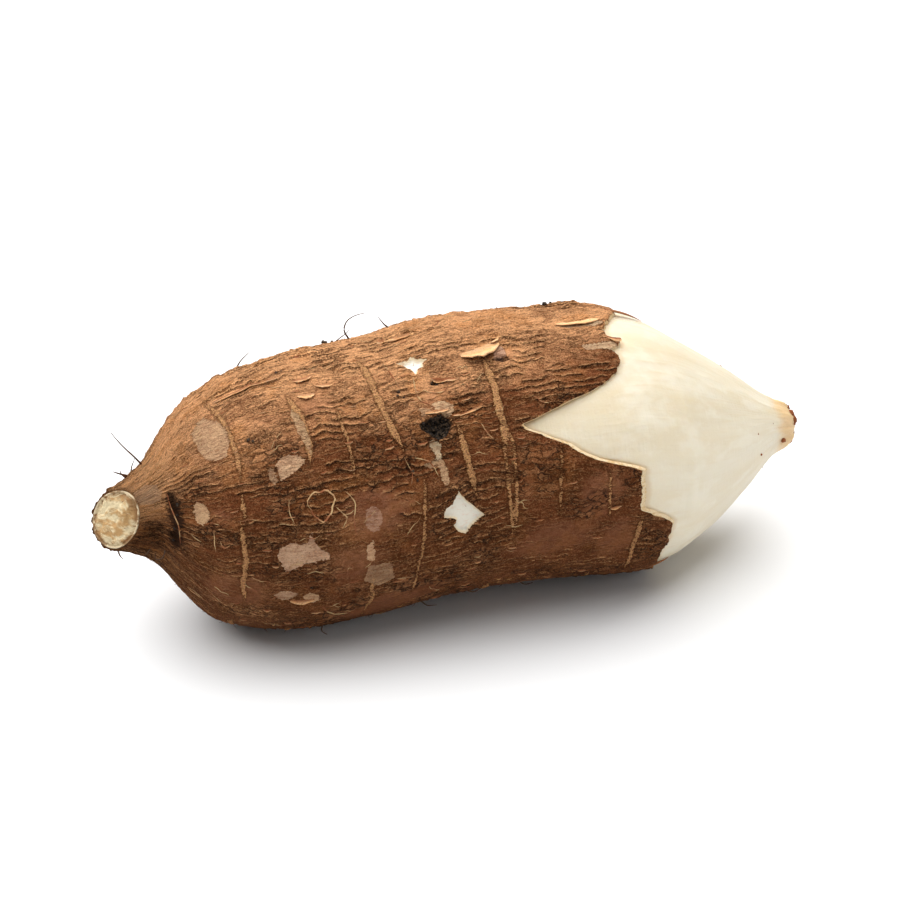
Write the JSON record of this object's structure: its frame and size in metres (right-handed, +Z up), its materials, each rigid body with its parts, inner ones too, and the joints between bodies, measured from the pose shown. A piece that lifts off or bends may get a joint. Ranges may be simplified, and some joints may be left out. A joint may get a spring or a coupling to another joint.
{
  "type": "cassava root",
  "caption": "Stout cylindrical cassava root with rough fibrous brown bark, a cut stem neck, and a tapering end peeled to smooth ivory flesh along a torn edge.",
  "frame": {"origin": "bottom centre of the root's box, on the surface that it lies on", "axes": "+X along the root from the cut stem neck to the peeled tip, +Z up, -Y the side where the peel is cut back furthest"},
  "size_m": [0.2274, 0.087, 0.0851],
  "materials": {
    "bark": "rough",
    "flesh": "satin"
  },
  "bodies": {
    "root": {"cassava_root": "bark"}
  },
  "joints": []
}
